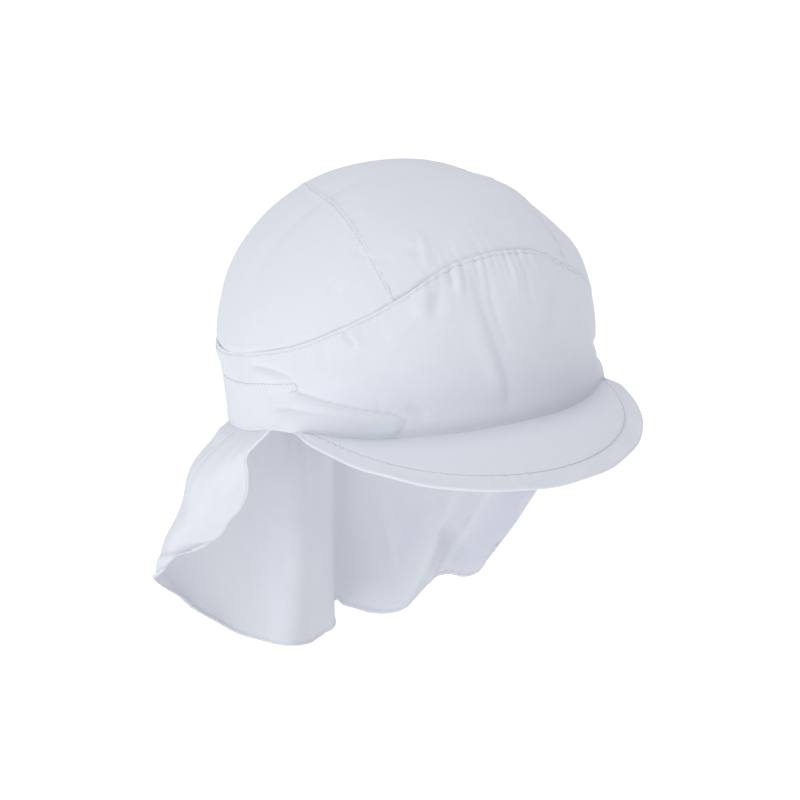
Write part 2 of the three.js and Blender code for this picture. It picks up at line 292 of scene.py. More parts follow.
STRIP_CREASES = [
    Crease([(19, 100.5), (23, 98.5), (27.5, 93.5)], 2.8, 0.6, 0, 0.2, 0.35),
    Crease([(20.2, 101), (19.2, 96), (18.6, 87)], 2.1, 0.9, 0.3, 0.3, 0.4),
    Crease([(22.5, 93), (21.5, 96)], 4, -0.6, 0, 0.1, 0.3),
    Crease([(35.4, 91.4), (31.9, 91.1), (28.6, 91.9)], 2, -0.6, 0, 0.2, 0.35),
    Crease([(54, 101), (50.8, 102.2), (47, 103.9)], 2, -0.6, 0, 0.2, 0.35),
    Crease([(8, 100), (6, 94), (4, 91)], 4, 0.4, 0, 0.1, 0.35),
    Crease([(-6, 103), (-12, 97), (-16, 91)], 5, -0.5, 0, 0, 0.35),
    Crease([(150, 70), (160, 50), (165, 35)], 5, 0.6, 0, 0.1, 0.35),
    Crease([(205, 72), (198, 52), (194, 35)], 5, -0.6, 0, 0.1, 0.35),
]
# The side panels' creases, given for the wearer's right and mirrored for the left
SIDE_CREASES = [
    Crease([(46, 93.5), (41, 92.3), (37, 91.2)], 2, -0.5, 0, 0.2, 0.35),
    Crease([(53, 79.6), (48, 78.6), (44, 78.3)], 2, -0.4, 0, 0.2, 0.35),
    Crease([(68.4, 100.5), (70.8, 96.3), (69.5, 90)], 3.5, -0.4, 0, 0.2, 0.35),
    Crease([(58, 60), (76, 50), (96, 42)], 6, -0.3, 0, 0, 0.35),
    Crease([(112, 72), (120, 52), (130, 36)], 7, -0.6, 0, 0, 0.35),
    Crease([(134, 64), (146, 48), (152, 34)], 5, 0.5, 0, 0.1, 0.35),
]
# Two hollows on the wearer's left, a broad one over the crown and a narrow one low on the band.
# The strip, the side panels and the band share them.
CROWN_DENTS = [
    Crease([(-42, 104), (-56, 98), (-67, 89), (-76, 78)], 13, -4.5, 0, 0, 0.3),
    Crease([(-50, 29), (-62, 28), (-74, 26), (-86, 24)], 4.5, -3.6, 0, 0, 0.3),
]
FLAP_CREASES = [
    Crease([(0.42, 0.03), (0.42, 0.146), (0.407, 0.212), (0.39, 0.3)], 2, 1.4, 0, 0.4, 0.25),
    Crease(
        [(0.46, 0.04), (0.46, 0.196), (0.45, 0.283), (0.443, 0.388), (0.438, 0.52)],
        2.2, 1.5, 0, 0.4, 0.2,
    ),
    Crease([(0.438, 0.4), (0.427, 0.62), (0.425, 0.81), (0.432, 0.99)], 7, -2, 0, 0, 0.25),
    Crease([(0.34, 0.02), (0.325, 0.14), (0.3, 0.3)], 3, -1, 0, 0.2, 0.35),
    Crease(
        [(0.58, 0.3), (0.603, 0.45), (0.623, 0.54), (0.647, 0.64), (0.673, 0.73), (0.71, 0.86)],
        3.4, -1.7, 0, 0.2, 0.25,
    ),
    Crease([(0.69, 0.42), (0.72, 0.53), (0.775, 0.67), (0.842, 0.846), (0.9, 0.96)], 7, 2.6, 0, 0, 0.25),
    Crease([(0.832, 0.675), (0.833, 0.717), (0.838, 0.771)], 1.6, 0.7, 0, 0.4, 0.3),
    Crease([(0.06, 0.03), (0.045, 0.2), (0.02, 0.5)], 3, -1.1, 0, 0.3, 0.3),
    Crease([(0.13, 0.02), (0.11, 0.2), (0.1, 0.45)], 4, 1.2, 0, 0.1, 0.35),
    Crease([(0.22, 0.02), (0.22, 0.25), (0.2, 0.5)], 4, -1.3, 0, 0.1, 0.35),
]


def smooth(value, low, high):
    """Smooth step: 0 below low, 1 above high, and 3t^2 - 2t^3 between them."""
    share = np.clip((value - low) / (high - low), 0, 1)
    return share * share * (3 - 2 * share)


def mixed(start, end, share):
    """Straight blend from start to end."""
    return start + (end - start) * share


def placed(radius, turn, height):
    """Points (-radius sin turn, -radius cos turn, height)."""
    angle = np.radians(turn)
    sides = np.broadcast_arrays(-radius * np.sin(angle), -radius * np.cos(angle), height)
    return np.stack(sides, -1)


def plan_radius(turn, half_width, front, back):
    """Superellipse: the power mean of |sin|/half width and |cos|/length, turned over."""
    side = np.abs(np.sin(np.radians(turn))) / half_width
    ahead = np.cos(np.radians(turn))
    along = np.abs(ahead) / np.where(ahead > 0, front, back)
    return (side**PLAN_FULLNESS + along**PLAN_FULLNESS) ** (-1 / PLAN_FULLNESS)


def wrapped(turn):
    """The same turn, from -180 to 180 degrees."""
    return (turn + 180) % 360 - 180


def at_temples(turn):
    """Bell curve that is 1 at both temples."""
    return np.exp(-(((np.abs(wrapped(turn)) - TEMPLE_TURN) / TEMPLE_SPREAD) ** 2))


def ahead_share(turn):
    """1 at the front, 0 at the back, as half of 1 + cos."""
    return (1 + np.cos(np.radians(turn))) / 2


def rim_radius(turn):
    """Plan radius of the head opening, wider at the temples."""
    return plan_radius(turn, RIM_HALF_WIDTH, RIM_FRONT, RIM_BACK) + TEMPLE_FLARE * at_temples(turn)


def rim_height(turn):
    """A tilted plane that lifts a little at the temples."""
    return mixed(RIM_BACK_HEIGHT, RIM_FRONT_HEIGHT, ahead_share(turn)) + TEMPLE_LIFT * at_temples(turn)


def column_value(table, column, place):
    """Smooth value of a table's column at a place along its first column: cubic pieces whose slopes
    are those between the rows to either side."""
    key = table[0]._fields[0]
    places = np.array([getattr(row, key) for row in table])
    values = np.array([getattr(row, column) for row in table])
    last = len(places) - 1
    before = np.maximum(np.arange(last + 1) - 1, 0)
    after = np.minimum(np.arange(last + 1) + 1, last)
    slopes = (values[after] - values[before]) / (places[after] - places[before])
    row = np.clip(np.searchsorted(places, place, "right") - 1, 0, last - 1)
    span = places[row + 1] - places[row]
    t = (place - places[row]) / span
    start = (1 + 2 * t) * (1 - t) ** 2 * values[row] + t * (1 - t) ** 2 * span * slopes[row]
    end = t * t * (3 - 2 * t) * values[row + 1] - t * t * (1 - t) * span * slopes[row + 1]
    return start + end


def arch_height(turn):
    """Seam between the band and the crown: the arch's line, low at the sides and back."""
    away = np.abs(wrapped(np.asarray(turn) + ARCH_TWIST))
    return mixed(BAND_BACK_TOP, ARCH_HEIGHT, column_value(ARCH_LINE, "rise", away))


def fullness(turn):
    """Power of the dome's section, larger toward the front."""
    return mixed(SIDE_FULLNESS, FRONT_FULLNESS, np.maximum(0, np.cos(np.radians(turn))))


def wall_point(turn, height):
    """Crown's outer face at a turn and height: superellipse above the widest level, parabola below."""
    widest = plan_radius(turn, CROWN_HALF_WIDTH, CROWN_FRONT, CROWN_BACK)
    power = fullness(turn)
    rise = np.clip((height - WIDEST) / DOME, 0, 1)
    upper = widest * (1 - rise**power) ** (1 / power)
    fall = (WIDEST - height) / (WIDEST - rim_height(turn))
    lower = mixed(widest, rim_radius(turn), fall * (2 - fall))
    return placed(np.where(height >= WIDEST, upper, lower), turn, height)


def chart_point(turn, height):
    """Point on the crown's flat chart, whose radius is 0 at the apex and 1 at the widest level."""
    rise = (height - WIDEST) / DOME
    power = fullness(turn)
    over = np.clip(rise, 0, 1)
    above = np.arctan2((1 - over**power) ** (1 / power), over) / (np.pi / 2)
    distance = np.where(rise > 0, above, 1 - rise / (np.pi / 2))
    return placed(distance, turn, 0)[..., :2]


def crown_point(chart):
    """Point of the crown over a point of the chart: the chart's radius is the tilt from the apex."""
    distance = np.hypot(chart[..., 0], chart[..., 1])
    turn = np.degrees(np.arctan2(-chart[..., 0], -chart[..., 1]))
    power = fullness(turn)
    tilt = np.minimum(distance, 1) * np.pi / 2
    scale = (np.sin(tilt) ** power + np.cos(tilt) ** power) ** (-1 / power)
    radius = plan_radius(turn, CROWN_HALF_WIDTH, CROWN_FRONT, CROWN_BACK) * np.sin(tilt) * scale
    dome = placed(radius, turn, WIDEST + DOME * np.cos(tilt) * scale)
    skirt = wall_point(turn, WIDEST - np.maximum(distance - 1, 0) * (np.pi / 2) * DOME)
    return np.where((distance > 1)[..., None], skirt, dome)


def strip_back_turn():
    """Half the angle that the strip takes at the back of the band."""
    return np.degrees(np.arcsin(STRIP_BACK_HALF_WIDTH / CROWN_BACK))


def strip_point(across, along, past, lap):
    """Chart point of the strip: across from its right edge to its left one and along from the arch to
    the back of the band. It is a straight blend between its two ends, and each edge moves from its
    place at the arch to the one at the back by the edges' table. Past widens it, as a share of the
    chart, and lap takes its ends that far under the band."""
    front_turn = mixed(STRIP_RIGHT_TURN, -STRIP_LEFT_TURN, across)
    rear_turn = 180 + mixed(-strip_back_turn(), strip_back_turn(), across)
    front = chart_point(front_turn, arch_height(front_turn) - lap)
    back = chart_point(rear_turn, arch_height(rear_turn) - lap)
    point = mixed(front, back, along[..., None])
    place = np.clip(along, 0, 1)
    right = column_value(STRIP_EDGES, "right", place)
    left = column_value(STRIP_EDGES, "left", place)
    share = mixed(right, left, across)
    point[..., 0] = mixed(front[..., 0], back[..., 0], share) + (2 * across - 1) * past
    return point


def turn_of(points):
    """Turn of each point about the origin."""
    return np.degrees(np.arctan2(-points[..., 0], -points[..., 1]))


def above_arch(points):
    """Height of each point over the arch's line."""
    return points[..., 2] - arch_height(turn_of(points))


def flap_point(seam, down):
    """Neck flap's outer face: a straight blend from the rim to the hem's reach, turn and drop, plus a
    bow that peaks two thirds of the way down. Above the rim it steps inside the band."""
    top = mixed(FLAP_EDGE_TURN, 360 - FLAP_EDGE_TURN, seam)
    fall = np.maximum(down, 0)
    turn = mixed(top, column_value(FLAP_RIBS, "turn", seam), fall)
    reach = column_value(FLAP_RIBS, "reach", seam) * CROWN_BACK
    bow = column_value(FLAP_RIBS, "bow", seam) * reach * (27 / 4) * fall * fall * (1 - fall)
    above = np.maximum(-down, 0) * FLAP_LENGTH
    inside = 0.4 * MM + 1.5 * MM * smooth(above, 0, 1.2 * MM)
    radius = mixed(rim_radius(top) - inside, reach, fall) + bow
    hem = RIM_BACK_HEIGHT - column_value(FLAP_RIBS, "drop", seam) * FLAP_LENGTH
    return placed(radius, turn, mixed(rim_height(top) - 0.4 * MM, hem, fall) + above)


def shares(count, length, start=True, end=True):
    """Shares 0 to 1: even steps, with the edge steps at the ends that are asked for."""
    low = EDGE_STEPS / length if start else np.array([0.0])
    high = 1 - EDGE_STEPS[::-1] / length if end else np.array([1.0])
    return np.concatenate([low, np.linspace(low[-1], high[0], count)[1:-1], high])


def grid_normals(points, ring=False):
    """Unit cross product of the grid's two directions."""
    if ring:
        along_u = np.roll(points, -1, 0) - np.roll(points, 1, 0)
    else:
        along_u = np.gradient(points, axis=0)
    normal = np.cross(along_u, np.gradient(points, axis=1))
    return normal / np.maximum(np.linalg.norm(normal, axis=-1, keepdims=True), 1e-15)


def raised(points, relief, ring=False):
    """The grid moved along its normals by the relief."""
    return points + grid_normals(points, ring) * np.asarray(relief)[..., None]


def run(points, axis):
    """Length along one direction of the grid, zero at its start."""
    steps = np.linalg.norm(np.diff(points, axis=axis), axis=-1)
    return np.concatenate([np.zeros_like(np.take(steps, [0], axis)), np.cumsum(steps, axis)], axis)


def run_back(points, axis):
    """Length along one direction of the grid, zero at its end."""
    length = run(points, axis)
    return np.take(length, [-1], axis) - length


def rounded(distance, half):
    """Half thickness that falls to zero at a free edge along a quarter circle."""
    share = np.clip(distance / half, 0, 1)
    return half * np.sqrt(1 - (1 - share) ** 2)


def ripple(points, wave, depth, seed):
    """Soft swells and hollows: the sum of eight plane waves of about one length, in seeded
    directions and phases."""
    draw = np.random.default_rng(seed)
    total = np.zeros(points.shape[:-1])
    for _ in range(8):
        direction = draw.normal(size=3)
        direction /= np.linalg.norm(direction)
        length = wave * draw.uniform(0.7, 1.6)
        total += np.sin(points @ direction * (2 * np.pi / length) + draw.uniform(0, 2 * np.pi))
    return depth * total / 4


def wander(along, wave, seed):
    """Slow wave between about -1 and 1: the mean of four sines of seeded lengths."""
    draw = np.random.default_rng(seed)
    total = np.zeros(np.shape(along))
    for _ in range(4):
        total += np.sin(along * 2 * np.pi / (wave * draw.uniform(0.6, 1.9)) + draw.uniform(0, 2 * np.pi))
    return total / 2.4


def puckers(along, across, pitch, reach, depth, seed):
    """Small folds square to a seam: a wave along it whose pitch and strength wander, dying away with
    the distance across as a bell."""
    wave = np.sin(2 * np.pi * along / pitch + 2.2 * wander(along, 5 * pitch, seed))
    strength = 0.6 + 0.55 * wander(along, 9 * pitch, seed + 1)
    return depth * wave * strength * np.exp(-((np.abs(across) / reach) ** 1.3))


def groove(across, width, depth):
    """Narrow trough along a line: minus depth times a bell of the distance from it."""
    return -depth * np.exp(-((across / width) ** 2))


def crease_path(path, surface):
    """Twenty-eight points on the surface along a path, eased at its corners by a moving mean."""
    stops = np.linspace(0, len(path) - 1, 28)
    knots = np.arange(len(path))
    columns = []
    for values in np.array(path, float).T:
        line = np.pad(np.interp(stops, knots, values), 2, mode="reflect", reflect_type="odd")
        columns.append(np.convolve(line, np.full(5, 0.2), "valid"))
    return surface(columns[0], columns[1])


def creased(points, ring, creases, surface, strength):
    """Relief of a table of creases: depth times a bell of the distance from each path, wider on the
    side it leans to, and fading toward the path's ends."""
    flat = points.reshape(-1, 3)
    normals = grid_normals(points, ring).reshape(-1, 3)
    total = np.zeros(len(flat))
    for crease in creases:
        path = crease_path(crease.path, surface)
        reach = 3.2 * crease.width * MM * (1 + abs(crease.lean))
        near = ((flat > path.min(0) - reach) & (flat < path.max(0) + reach)).all(1).nonzero()[0]
        if not len(near):
            continue
        start = path[:-1]
        step = path[1:] - start
        offset = flat[near][:, None] - start
        share = np.clip((offset * step).sum(-1) / (step * step).sum(-1), 0, 1)
        gap = offset - share[..., None] * step
        distance = np.linalg.norm(gap, axis=-1)
        pick = distance.argmin(1)
        rows = np.arange(len(near))
        side = np.sign((np.cross(normals[near], step[pick]) * gap[rows, pick]).sum(-1))
        width = crease.width * MM * (1 + crease.lean * side)
        bell = np.exp(-((distance[rows, pick] / width) ** (2 - crease.sharp)))
        along = (pick + share[rows, pick]) / len(step)
        fade = smooth(along, 0, crease.fade) * smooth(1 - along, 0, crease.fade)
        total[near] += crease.depth * MM * bell * fade
    return strength * total.reshape(points.shape[:-1])


def crown_surface(turn, height):
    """Crown's outer face at a turn and a height in millimetres."""
    return wall_point(turn, height * MM)


def line_at(points, normals, across, distance):
    """The line across a grid where a field that grows along its second direction has a value: each
    column is blended between the two rows around it."""
    row = np.clip((across < distance).sum(1) - 1, 0, points.shape[1] - 2)
    column = np.arange(len(points))
    low, high = across[column, row], across[column, row + 1]
    share = np.clip((distance - low) / np.maximum(high - low, 1e-9), 0, 1)[:, None]
    place = mixed(points[column, row], points[column, row + 1], share)
    return place, mixed(normals[column, row], normals[column, row + 1], share)


def between_points(grid, column, row):
    """Values of a ring's grid between its points: a straight blend along both directions."""
    low = np.floor(column).astype(int)
    base = np.clip(np.floor(row).astype(int), 0, grid.shape[1] - 2)
    first, second = grid[low % len(grid)], grid[(low + 1) % len(grid)]
    line = mixed(first, second, (column - low)[:, None, None])
    pick = np.arange(len(low))
    return mixed(line[pick, base], line[pick, base + 1], (row - base)[:, None])


def make_object(name, vertices, faces, corner_uv=None, values=None):
    """Mesh object at the origin from arrays: faces of one size, a UV pair for each face corner and
    named numbers for each vertex."""
    mesh = bpy.data.meshes.new(name)
    mesh.vertices.add(len(vertices))
    mesh.vertices.foreach_set("co", np.asarray(vertices, np.float32).ravel())
    mesh.loops.add(faces.size)
    mesh.loops.foreach_set("vertex_index", faces.astype(np.int32).ravel())
    mesh.polygons.add(len(faces))
    mesh.polygons.foreach_set("loop_start", np.arange(len(faces), dtype=np.int32) * faces.shape[1])
    mesh.update(calc_edges=True)
    mesh.shade_smooth()
    if corner_uv is not None:
        layer = mesh.uv_layers.new(name="weave")
        layer.data.foreach_set("uv", np.asarray(corner_uv, np.float32).ravel())
    for key, numbers in (values or {}).items():
        attribute = mesh.attributes.new(key, "FLOAT", "POINT")
        attribute.data.foreach_set("value", np.asarray(numbers, np.float32))
    mesh.validate()
    piece = bpy.data.objects.new(name, mesh)
    bpy.context.scene.collection.objects.link(piece)
    return piece


def cloth_object(name, middle, half, ring=False):
    """Closed sheet: its two faces lie half to either side of the middle grid. Where half is zero, on
    the grid's border, the two faces share their points. The UV map is the length along the
    middle grid in metres."""
    columns, rows = middle.shape[:2]
    normals = grid_normals(middle, ring)
    offset = normals * half[..., None]
    count = columns * rows
    index = np.arange(count).reshape(columns, rows)
    border = np.zeros((columns, rows), bool)
    border[:, [0, -1]] = True
    if not ring:
        border[[0, -1]] = True
    inner = index + count
    inner[border] = index[border]
    uv = np.stack([run(middle, 0), run(middle, 1)], -1)
    if ring:
        index, inner = (np.concatenate([face, face[:1]]) for face in (index, inner))
        closing = uv[-1:] + (uv[-1:] - uv[-2:-1])
        closing[..., 1] = uv[:1, :, 1]
        uv = np.concatenate([uv, closing])

    def quads(grid, flip):
        """The grid's quads, in one order for the outside and the other for the inside."""
        corners = [grid[:-1, :-1], grid[1:, :-1], grid[1:, 1:], grid[:-1, 1:]]
        order = [0, 3, 2, 1] if flip else [0, 1, 2, 3]
        return np.stack([corners[k] for k in order], 2)

    faces = np.concatenate([quads(index, False).reshape(-1, 4), quads(inner, True).reshape(-1, 4)])
    corner_uv = np.concatenate([quads(uv, flip).reshape(-1, 2) for flip in (False, True)])
    points = np.concatenate([(middle + offset).reshape(-1, 3), (middle - offset).reshape(-1, 3)])
    used = np.unique(faces)
    place = np.zeros(2 * count, np.int64)
    place[used] = np.arange(len(used))
    return make_object(name, points[used], place[faces], corner_uv)


# Rings of one stitch: place along it from -0.5 to 0.5, height over the cloth and width, both as
# shares of the thread's radius, and how much painted shade darkens it where it enters its needle hole.
StitchRing = namedtuple("StitchRing", "along height width hole")
STITCH_RINGS = [
    StitchRing(-0.5, -0.2, 0, 1),
    StitchRing(-0.47, 0.3, 0.95, 1),
    StitchRing(-0.3, 0.75, 1, 0.1),
    StitchRing(0.3, 0.75, 1, 0.1),
    StitchRing(0.47, 0.3, 0.95, 1),
    StitchRing(0.5, -0.2, 0, 1),
]
STITCH_SIDES = 5


def stitch_arrays(line, normals, pitch, radius, hole_shade_strength, fill=0.8):
    """A row of stitches along a line: each is a short thread of six rings, whose first and last are
    closed to points, that stands on the cloth and dips into it at both ends. The fifth argument is
    how strongly painted shade darkens the needle holes at the stitch ends."""
    length = np.concatenate([[0], np.cumsum(np.linalg.norm(np.diff(line, axis=0), axis=1))])
    count = max(1, int(round(length[-1] / pitch)))
    step = length[-1] / count
    along, height, width, hole = (np.array(column) for column in zip(*STITCH_RINGS))
    spots = ((np.arange(count) + 0.5)[:, None] + along * fill) * step
    centre = np.stack([np.interp(spots, length, line[:, k]) for k in range(3)], -1)
    up = np.stack([np.interp(spots, length, normals[:, k]) for k in range(3)], -1)
    up /= np.linalg.norm(up, axis=-1, keepdims=True)
    ahead = np.gradient(centre, axis=1)
    side = np.cross(up, ahead)
    side /= np.maximum(np.linalg.norm(side, axis=-1, keepdims=True), 1e-12)
    angle = np.arange(STITCH_SIDES) * 2 * np.pi / STITCH_SIDES
    circle = side[:, :, None] * np.cos(angle)[:, None] + up[:, :, None] * np.sin(angle)[:, None]
    middle = centre + up * (height * radius)[:, None]
    rings = middle[:, :, None] + circle * (width * radius)[:, None, None]
    # Painted shade: each ring's needle-hole darkness, scaled for this row, is kept on the points for the
    # thread's colour.
    hole = hole * hole_shade_strength
    shade = np.broadcast_to(hole[:, None], rings.shape[1:3])
    points = np.concatenate([rings[:, 1:-1].reshape(count, -1, 3), middle[:, [0, -1]]], 1)
    shades = np.tile(np.concatenate([shade[1:-1].ravel(), hole[[0, -1]]]), count)
    return points.reshape(-1, 3), stitch_faces(count, points.shape[1]), shades


def stitch_faces(count, size):
    """Triangles of a row of stitches: two fans at the tips and two triangles for each side between
    neighbouring rings."""
    rings = len(STITCH_RINGS) - 2
    grid = np.arange(rings * STITCH_SIDES).reshape(rings, STITCH_SIDES)
    after = np.roll(grid, -1, 1)
    first, last = rings * STITCH_SIDES, rings * STITCH_SIDES + 1
    a, b, c, d = grid[:-1], after[:-1], after[1:], grid[1:]
    sides = np.concatenate([np.stack([a, d, c], -1), np.stack([a, c, b], -1)]).reshape(-1, 3)
    start = np.stack([np.full(STITCH_SIDES, first), grid[0], after[0]], -1)
    end = np.stack([np.full(STITCH_SIDES, last), after[-1], grid[-1]], -1)
    one = np.concatenate([sides, start, end])
    return (one[None] + (np.arange(count) * size)[:, None, None]).reshape(-1, 3)


def stitches_object(name, rows):
    """One mesh of several rows of stitches."""
    points, faces, hole_shades = [], [], []
    start = 0
    for row_points, row_faces, row_hole_shades in rows:
        points.append(row_points)
        faces.append(row_faces + start)
        hole_shades.append(row_hole_shades)
        start += len(row_points)
    # Painted shade at the needle holes, kept on each point for the thread's colour.
    values = {"hole": np.concatenate(hole_shades)}
    return make_object(name, np.concatenate(points), np.concatenate(faces), None, values)


class Value:
    """One output of a shader node. Arithmetic on it adds Math nodes."""

    def __init__(self, shader, socket):
        self.shader = shader
        self.socket = socket

    def math(self, operation, *values):
        """A Math node of the given operation on the values."""
        sockets = dict(enumerate(values))
        return self.shader.node("ShaderNodeMath", {"operation": operation}, sockets)["Value"]

    def __add__(self, other):
        return self.math("ADD", self, other)

    def __sub__(self, other):
        return self.math("SUBTRACT", self, other)

    def __mul__(self, other):
        return self.math("MULTIPLY", self, other)

    __radd__ = __add__

    def sine(self):
        """Sine of the value."""
        return self.math("SINE", self)

    def clamped(self):
        """The value kept from 0 to 1."""
        return self.math("MINIMUM", self.math("MAXIMUM", self, 0.0), 1.0)


class Shader:
    """A material's node tree, built by one method."""

    def __init__(self, name):
        self.material = bpy.data.materials.new(name)
        self.material.use_nodes = True
        self.tree = self.material.node_tree
        self.tree.nodes.clear()

    def node(self, kind, settings=None, sockets=None):
        """A node of a type. Its settings are set first, then its sockets are given values or links.
        It returns the node's outputs by name, or by place where two share a name."""
        made = self.tree.nodes.new(kind)
        for key, setting in (settings or {}).items():
            setattr(made, key, setting)
        for key, value in (sockets or {}).items():
            if isinstance(value, Value):
                self.tree.links.new(value.socket, made.inputs[key])
            else:
                made.inputs[key].default_value = value
        outputs = {place: Value(self, socket) for place, socket in enumerate(made.outputs)}
        outputs.update({socket.name: outputs[place] for place, socket in enumerate(made.outputs)})
        return outputs

    def blend(self, factor, first, second):
        """Colour between two colours."""
        sockets = {0: factor, 6: first, 7: second}
        return self.node("ShaderNodeMix", {"data_type": "RGBA"}, sockets)[2]

    def noise(self, vector, scale, detail=2.0):
        """Noise from 0 to 1 at points in metres times the scale."""
        sockets = {"Vector": vector, "Scale": scale, "Detail": detail}
        return self.node("ShaderNodeTexNoise", None, sockets)["Fac"]

    def stretched(self, vector, scale):
        """The vector times a scale of its own along each axis."""
        settings = {"operation": "MULTIPLY"}
        return self.node("ShaderNodeVectorMath", settings, {0: vector, 1: scale})["Vector"]

    def finish(self, sockets):
        """Principled shader with the given sockets, as the material's surface."""
        surface = self.node("ShaderNodeBsdfPrincipled", None, sockets)["BSDF"]
        self.node("ShaderNodeOutputMaterial", None, {"Surface": surface})
        return self.material


def shaded(colour, share):
    """A colour with its three channels times a share."""
    return (*(channel * share for channel in colour[:3]), 1.0)


def cotton(name, colour, weave, grain, cloudiness):
    """Matte cotton. The weave is the product of two sines along the UV map's axes, slubs are noise
    drawn out along each thread, and grain is a fine nap. They bump the surface and tint it a little,
    with slow clouds over the whole piece."""
    shader = Shader(name)
    uv = shader.node("ShaderNodeUVMap", {"uv_map": "weave"})["UV"]
    place = shader.node("ShaderNodeTexCoord")["Object"]
    axes = shader.node("ShaderNodeSeparateXYZ", None, {"Vector": uv})
    turns = 2 * np.pi / weave
    crossing = (axes["X"] * turns).sine() * (axes["Y"] * turns).sine()
    warp = shader.noise(shader.stretched(uv, (1, 0.05, 1)), 1300.0, 1.0)
    weft = shader.noise(shader.stretched(uv, (0.05, 1, 1)), 1300.0, 1.0)
    nap = shader.noise(uv, 900.0, 3.0)
    cloud = shader.noise(place, 38.0, 3.0)
    threads = (warp + weft) * 0.5
    height = crossing * 0.12 + threads * 0.9 + nap * grain
    bump = shader.node("ShaderNodeBump", None, {"Strength": 0.5, "Distance": 0.12 * MM, "Height": height})
    tint = ((threads - 0.5) * 0.9 + (nap - 0.5) * 0.7 * grain + (cloud - 0.5) * cloudiness + 0.5).clamped()
    base = shader.blend(tint, shaded(colour, 0.955), shaded(colour, 1.035))
    return shader.finish({
        "Base Color": base,
        "Roughness": 0.82 + nap * 0.12,
        "Normal": bump["Normal"],
        "Specular IOR Level": 0.25,
        "Sheen Weight": 0.08,
        "Sheen Roughness": 0.5,
    })


def thread(name, colour):
    """Sewing thread: twisted ply as a fine noise, and painted shade at the needle holes from the mesh's own
    numbers.
    """
    shader = Shader(name)
    place = shader.node("ShaderNodeTexCoord")["Object"]
    ply = shader.noise(place, 2600.0, 1.0)
    hole = shader.node("ShaderNodeAttribute", {"attribute_name": "hole"})["Fac"]
    lit = shader.blend(ply, shaded(colour, 0.9), shaded(colour, 1.05))
    # Painted shade: the thread is darkened to 0.4 of its colour where the mesh marks a needle hole.
    base = shader.blend(hole.clamped(), lit, shaded(colour, 0.4))
    bump = shader.node("ShaderNodeBump", None, {"Strength": 0.4, "Distance": 0.05 * MM, "Height": ply})
    return shader.finish({
        "Base Color": base,
        "Roughness": 0.7,
        "Normal": bump["Normal"],
        "Specular IOR Level": 0.3,
    })


def plain_floor(name, colour, glow, shade):
    """Pale matte floor with a faint, slow change of tone and a glow of its own, which fades away in
    the round patch right under the cap, so that little light comes from below."""
    shader = Shader(name)
    place = shader.node("ShaderNodeTexCoord")["Object"]
    tone = shader.noise(place, 1.5, 1.0)
    base = shader.blend(tone, shaded(colour, 0.985), shaded(colour, 1.0))
    flat = shader.stretched(place, (1, 1, 0))
    distance = shader.node("ShaderNodeVectorMath", {"operation": "LENGTH"}, {0: flat})["Value"]
    lit = ((distance - 0.5 * shade) * (2 / shade)).clamped()
    return shader.finish({
        "Base Color": base,
        "Roughness": 0.9,
        "Specular IOR Level": 0.0,
        "Emission Color": shader.blend(lit, (0.0, 0.0, 0.0, 1.0), (1.0, 1.0, 1.0, 1.0)),
        "Emission Strength": glow,
    })


def dressed(piece, material, slot, *nodes):
    """Gives a piece its material and its body, and hides the nodes that it stands for. The slot is not used.
    """
    piece.data.materials.append(material)
    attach(piece, "root")
    if nodes:
        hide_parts(*nodes)


class CapSewing(bpy.types.PropertyGroup):
    """Sizes of the cloth, its seams and its stitches."""

    cloth_half: FloatProperty(
        name="Half Cloth",
        description="Half the thickness of a crown panel",
        default=0.45 * MM, unit="LENGTH",
    )
    band_half: FloatProperty(
        name="Half Band", description="Half the thickness of the band", default=0.75 * MM, unit="LENGTH"
    )
    flap_half: FloatProperty(
        name="Half Flap",
        description="Half the thickness of the neck flap",
        default=0.35 * MM, unit="LENGTH",
    )
    lap: FloatProperty(
        name="Seam Lap",
        description="How far a panel runs under its neighbour",
        default=4.5 * MM, unit="LENGTH",
    )
    fold_rise: FloatProperty(
        name="Fold Rise",
        description="How far a folded seam edge stands up",
        default=0.28 * MM, unit="LENGTH",
    )
    sink: FloatProperty(
        name="Sink",
        description="How deep a panel dips to run under another",
        default=0.75 * MM, unit="LENGTH",
    )
    stitch: FloatProperty(
        name="Stitch", description="Stitch length on the seams", default=2.4 * MM, unit="LENGTH"
    )
    casing_stitch: FloatProperty(
        name="Casing Stitch", description="Stitch length on the casing", default=2.9 * MM, unit="LENGTH"
    )
    thread_radius: FloatProperty(
        name="Thread", description="Radius of the sewing thread", default=0.17 * MM, unit="LENGTH"
    )
    pucker: FloatProperty(
        name="Pucker",
        description="Depth of the small folds along the seams",
        default=0.2 * MM, unit="LENGTH",
    )
    softness: FloatProperty(
        name="Softness",
        description="Depth of the soft swells in the cloth",
        default=0.3 * MM, unit="LENGTH",
    )
    creasing: FloatProperty(
        name="Creasing",
        description="Strength of the creases, 1 as worn",
        default=1.0, min=0, subtype="FACTOR",
    )
    hem: FloatProperty(
        name="Hem", description="Width of the flap's rolled hem", default=3 * MM, unit="LENGTH"
    )


class CapColours(bpy.types.PropertyGroup):
    """Colours of the cloth, the thread and the floor."""

    cloth: FloatVectorProperty(
        name="Cloth",
        description="Cotton of the whole cap",
        size=3, subtype="COLOR", default=(0.76, 0.785, 0.85),
    )
    thread: FloatVectorProperty(
        name="Thread", description="Sewing thread", size=3, subtype="COLOR", default=(0.84, 0.86, 0.92)
    )
    floor: FloatVectorProperty(
        name="Floor", description="Floor under the cap", size=3, subtype="COLOR", default=(0.6, 0.6, 0.6)
    )


